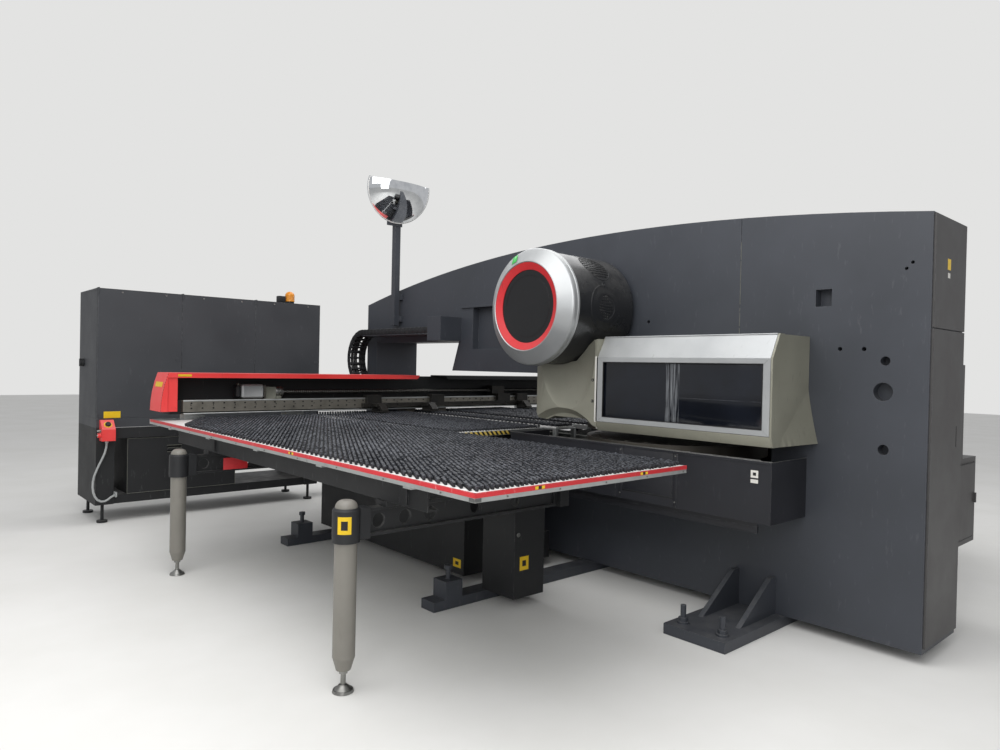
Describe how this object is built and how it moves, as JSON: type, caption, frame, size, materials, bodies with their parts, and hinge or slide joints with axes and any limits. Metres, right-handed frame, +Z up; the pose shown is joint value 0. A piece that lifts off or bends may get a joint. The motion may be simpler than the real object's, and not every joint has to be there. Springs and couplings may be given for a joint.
{
  "type": "turret punch press",
  "caption": "Servo turret punch press with an arched bridge frame, round drive cover, guarded turret, brush tables on a long carriage beam, energy chain, mirror and cabinet",
  "frame": {"origin": "On the floor under the ram axis, at the middle of the bridge frame", "axes": "+X along the carriage beam to the right seen from the near end, +Y along the bridge frame away from its near end, +Z up"},
  "size_m": [5.572, 6.654, 3.341],
  "materials": {
    "frame_paint": "satin charcoal paint",
    "end_paint": "satin dark grey paint",
    "base_paint": "black textured paint",
    "champagne_paint": "satin champagne metallic paint",
    "silver_paint": "silver paint",
    "red_paint": "signal red paint",
    "black_gloss": "gloss black",
    "dark_glass": "smoked safety glass",
    "machined_steel": "machined steel",
    "dark_steel": "dark oiled steel",
    "table_metal": "mill finish with a red band",
    "brush_fibre": "black and white bristle tufts",
    "leg_paint": "warm grey paint",
    "black_plastic": "black moulded plastic",
    "cabinet_paint": "fine textured dark grey paint",
    "mirror_face": "silvered acrylic",
    "amber_lens": "amber lens",
    "grey_conduit": "grey ribbed conduit"
  },
  "bodies": {
    "machine": {"bridge_frame": "frame_paint", "end_cover": "end_paint", "frame_feet": "frame_paint", "pedestals": "base_paint", "drum_housing": "frame_paint", "drum_ring": "silver_paint", "drum_inner_ring": "red_paint", "drum_disc": "black_gloss", "ram_shroud": "champagne_paint", "guard_housing": "champagne_paint", "guard_right": "end_paint", "lower_box_left": "base_paint", "lower_box_right": "base_paint", "service_cabinet": "end_paint", "ram_drive": "dark_steel", "turret_spindles": "machined_steel", "centre_table": "table_metal", "centre_brushes": "brush_fibre", "support_arms": "base_paint", "arm_collars": "black_plastic", "leg_tubes": "leg_paint", "leg_feet": "machined_steel", "y_rails": "machined_steel", "y_motor": "dark_steel", "energy_chain": "black_plastic", "chain_tray": "frame_paint", "mirror_pole": "frame_paint", "mirror_dome": "mirror_face", "cabinet_body": "cabinet_paint", "cabinet_plinth": "base_paint", "beacon_lamp": "amber_lens", "estop_box": "red_paint", "conduit": "grey_conduit"},
    "y_carriage": {"carriage_saddle": "dark_steel", "x_beam": "base_paint", "x_guide_bar": "dark_steel", "beam_top_cover": "red_paint", "beam_end_caps": "red_paint", "x_motor": "silver_paint", "side_table_left": "table_metal", "side_table_right": "table_metal", "side_brushes": "brush_fibre", "table_rails": "base_paint"},
    "x_carriage": {"x_slide": "dark_steel", "clamp_bodies": "dark_steel"},
    "jaw_1": {"clamp_jaw_1": "machined_steel"},
    "jaw_2": {"clamp_jaw_2": "machined_steel"},
    "jaw_3": {"clamp_jaw_3": "machined_steel"},
    "x_screw_body": {"x_screw": "machined_steel"},
    "y_screw_body": {"y_screw": "machined_steel"},
    "upper_disc": {"turret_upper": "machined_steel"},
    "lower_disc": {"turret_lower": "machined_steel"},
    "ram": {"striker": "machined_steel"},
    "guard_lid": {"guard_door": "silver_paint", "guard_glass": "dark_glass"},
    "door_1": {"cabinet_door_1": "cabinet_paint"},
    "door_2": {"cabinet_door_2": "cabinet_paint"},
    "door_3": {"cabinet_door_3": "cabinet_paint"},
    "isolator": {"isolator_knob": "black_plastic"},
    "stop_button": {"estop_button": "black_plastic"}
  },
  "joints": [
    {"name": "y_axis", "type": "slide", "parent": "machine", "child": "y_carriage", "axis": [0, -1, 0], "range_m": [0, 1.6], "deforming": ["energy_chain"]},
    {"name": "y_screw_spin", "type": "hinge", "parent": "machine", "child": "y_screw_body", "pos_m": [0, 1.7, 0.85], "axis": [0, 1, 0], "continuous": true},
    {"name": "x_axis", "type": "slide", "parent": "y_carriage", "child": "x_carriage", "axis": [1, 0, 0], "range_m": [-1.55, 0.95]},
    {"name": "x_screw_spin", "type": "hinge", "parent": "y_carriage", "child": "x_screw_body", "pos_m": [0.3, 2.53, 1.24], "axis": [1, 0, 0], "continuous": true},
    {"name": "jaw_1_tip", "type": "hinge", "parent": "x_carriage", "child": "jaw_1", "pos_m": [-0.65, 2.318, 1.114], "axis": [-1, 0, 0], "range_deg": [0, 10]},
    {"name": "jaw_2_tip", "type": "hinge", "parent": "x_carriage", "child": "jaw_2", "pos_m": [-0.06, 2.318, 1.114], "axis": [-1, 0, 0], "range_deg": [0, 10]},
    {"name": "jaw_3_tip", "type": "hinge", "parent": "x_carriage", "child": "jaw_3", "pos_m": [1.25, 2.318, 1.114], "axis": [-1, 0, 0], "range_deg": [0, 10]},
    {"name": "upper_disc_spin", "type": "hinge", "parent": "machine", "child": "upper_disc", "pos_m": [0, -0.56, 1.165], "axis": [0, 0, 1], "continuous": true},
    {"name": "lower_disc_spin", "type": "hinge", "parent": "machine", "child": "lower_disc", "pos_m": [0, -0.56, 0.98], "axis": [0, 0, 1], "continuous": true},
    {"name": "ram_stroke", "type": "slide", "parent": "machine", "child": "ram", "axis": [0, 0, -1], "range_m": [0, 0.037]},
    {"name": "guard_lift", "type": "hinge", "parent": "machine", "child": "guard_lid", "pos_m": [-0.61, -1, 1.715], "axis": [0, 1, 0], "range_deg": [0, 75]},
    {"name": "door_1_swing", "type": "hinge", "parent": "machine", "child": "door_1", "pos_m": [-2.769, 3.674, 1.5], "axis": [0, 0, -1], "range_deg": [0, 90]},
    {"name": "door_2_swing", "type": "hinge", "parent": "machine", "child": "door_2", "pos_m": [-2.04067, 3.674, 1.5], "axis": [0, 0, -1], "range_deg": [0, 90]},
    {"name": "door_3_swing", "type": "hinge", "parent": "machine", "child": "door_3", "pos_m": [-1.31233, 3.674, 1.5], "axis": [0, 0, -1], "range_deg": [0, 90]},
    {"name": "isolator_turn", "type": "hinge", "parent": "machine", "child": "isolator", "pos_m": [-2.776, 4.2, 1.46], "axis": [-1, 0, 0], "range_deg": [0, 90]},
    {"name": "stop_press", "type": "slide", "parent": "machine", "child": "stop_button", "axis": [0, 0.7071, -0.7071], "range_m": [0, 0.006]}
  ],
  "couplings": [
    {"joint": "y_screw_spin", "follows": "y_axis", "rad_per_m": 125.66},
    {"joint": "x_screw_spin", "follows": "x_axis", "rad_per_m": 125.66},
    {"joint": "lower_disc_spin", "follows": "upper_disc_spin", "ratio": 1},
    {"joint": "jaw_2_tip", "follows": "jaw_1_tip", "ratio": 1},
    {"joint": "jaw_3_tip", "follows": "jaw_1_tip", "ratio": 1}
  ]
}
